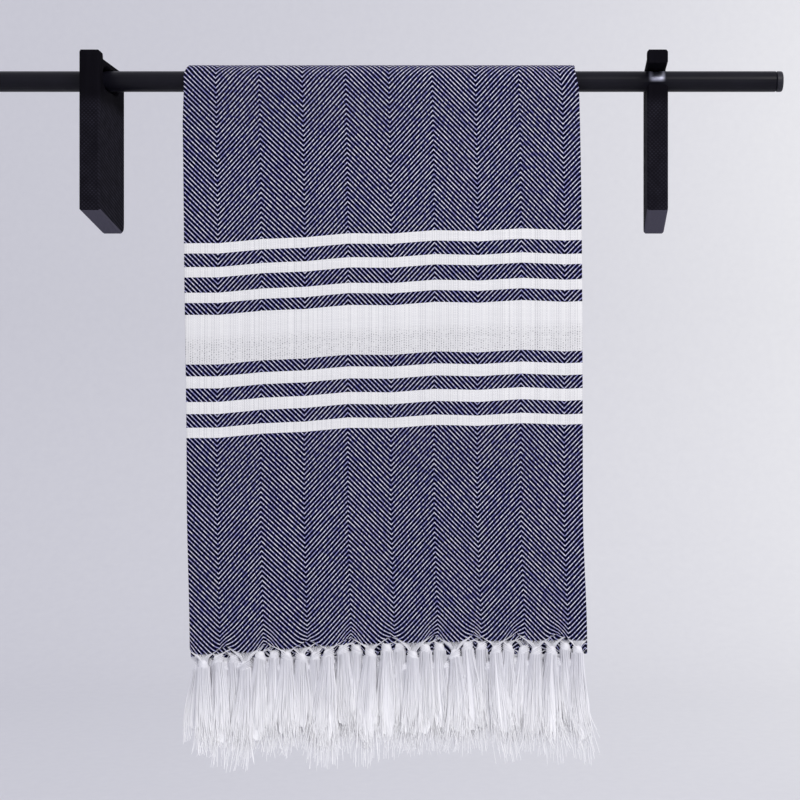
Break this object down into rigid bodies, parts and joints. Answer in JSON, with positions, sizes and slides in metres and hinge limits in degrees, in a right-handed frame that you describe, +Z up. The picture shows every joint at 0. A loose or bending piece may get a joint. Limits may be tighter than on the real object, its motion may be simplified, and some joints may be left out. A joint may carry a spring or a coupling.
{
  "type": "bath towel hung over a wall rail",
  "caption": "Striped flat-woven bath towel with knotted fringe, folded and hung doubled over the round rod of a wall rail with notched brackets.",
  "frame": {"origin": "centre of the left bracket's back face, level with the middle of the rod", "axes": "+X along the rod to the right seen from the front, +Y into the wall, +Z up"},
  "size_m": [0.637, 0.06, 0.5584],
  "materials": {
    "towel_cloth": "navy and white herringbone and striped cotton weave, matt",
    "fringe_yarn": "white cotton yarn, knotted and loose, matt",
    "rod_steel": "black powder coat, satin",
    "rod_cap": "black moulded plug, satin",
    "bracket_wood": "black lacquer with fine carved diagonal ribs below the rod"
  },
  "bodies": {
    "root": {"towel_cloth": "towel_cloth", "fringe_front_end": "fringe_yarn", "fringe_inner_end": "fringe_yarn", "rod": "rod_steel", "rod_cap_left": "rod_cap", "rod_cap_right": "rod_cap", "bracket_left": "bracket_wood", "bracket_right": "bracket_wood"}
  },
  "joints": []
}
